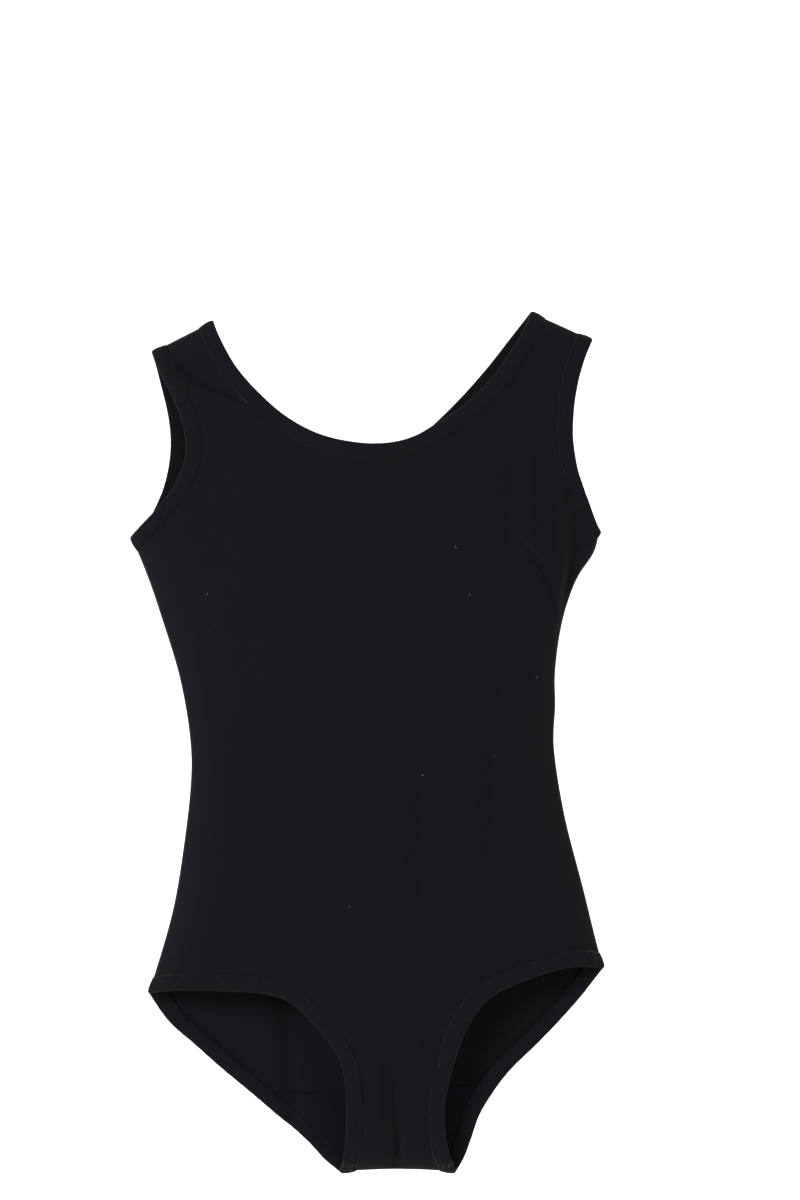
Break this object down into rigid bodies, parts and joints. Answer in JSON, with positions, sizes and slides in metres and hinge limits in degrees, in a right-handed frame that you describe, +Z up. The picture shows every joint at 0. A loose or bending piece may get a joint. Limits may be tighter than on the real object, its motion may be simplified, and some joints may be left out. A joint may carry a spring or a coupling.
{
  "type": "gymnastics leotard",
  "caption": "Black tank leotard with scooped neck, bound elastic edges, bust darts, side seams, lined crotch and a sewn label, shown hanging from its straps.",
  "frame": {"origin": "midway between the two shoulder straps, level with the top of the hanger they rest on", "axes": "+Z up, +X towards the viewer's right, the front of the garment faces -Y"},
  "size_m": [0.3389, 0.0464, 0.6142],
  "materials": {
    "jersey": "matt black cotton and elastane single jersey",
    "binding_jersey": "folded self binding of the same black jersey",
    "lining_cotton": "plain black cotton jersey lining",
    "elastic_rubber": "flat black rubber tape inside the bindings",
    "seam_thread": "overlocked seam allowance in black polyester thread",
    "label_satin": "blank off-white woven satin label"
  },
  "bodies": {
    "garment": {"front_panel": "jersey", "back_panel": "jersey", "gusset_lining": "lining_cotton", "neck_binding": "binding_jersey", "neck_elastic": "elastic_rubber", "armhole_left_binding": "binding_jersey", "armhole_left_elastic": "elastic_rubber", "armhole_right_binding": "binding_jersey", "armhole_right_elastic": "elastic_rubber", "leg_left_binding": "binding_jersey", "leg_left_elastic": "elastic_rubber", "leg_right_binding": "binding_jersey", "leg_right_elastic": "elastic_rubber", "bust_dart_left": "jersey", "side_seam_left": "seam_thread", "shoulder_seam_left": "seam_thread", "bust_dart_right": "jersey", "side_seam_right": "seam_thread", "shoulder_seam_right": "seam_thread", "crotch_seam": "seam_thread"},
    "label": {"care_label": "label_satin"}
  },
  "joints": [
    {"name": "label_flap", "type": "hinge", "parent": "garment", "child": "label", "pos_m": [-0.00259, 0.01602, -0.112], "axis": [-1, 0, 0], "range_deg": [0, 170]}
  ]
}
